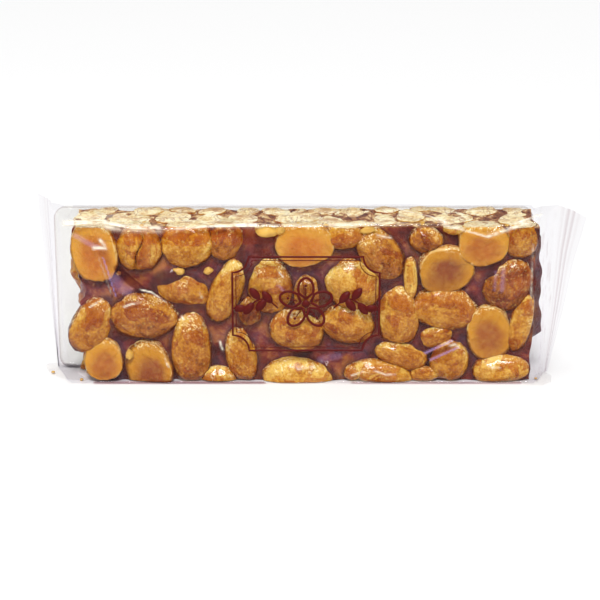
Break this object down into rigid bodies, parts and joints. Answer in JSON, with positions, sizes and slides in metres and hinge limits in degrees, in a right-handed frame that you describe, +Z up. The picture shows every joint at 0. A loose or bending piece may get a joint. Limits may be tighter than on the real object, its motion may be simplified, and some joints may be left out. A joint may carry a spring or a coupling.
{
  "type": "hard almond nougat bar in clear film",
  "caption": "Long bar of whole toasted almonds set in caramel, standing on its sawn edge on a clear tray inside a sealed clear film pack.",
  "frame": {"origin": "middle of the bounding box, on the floor that the bar stands on", "axes": "+X along the bar to the right, +Y to the back where the tray is, +Z up; the printed front faces -Y"},
  "size_m": [0.168, 0.022, 0.057],
  "materials": {
    "nougat": "glossy",
    "almond": "satin",
    "cut_almond": "matte",
    "caramel": "glossy",
    "film": "glossy",
    "tray": "glossy",
    "print": "glossy"
  },
  "bodies": {
    "root": {"nougat_film_pack": "nougat"}
  },
  "joints": []
}
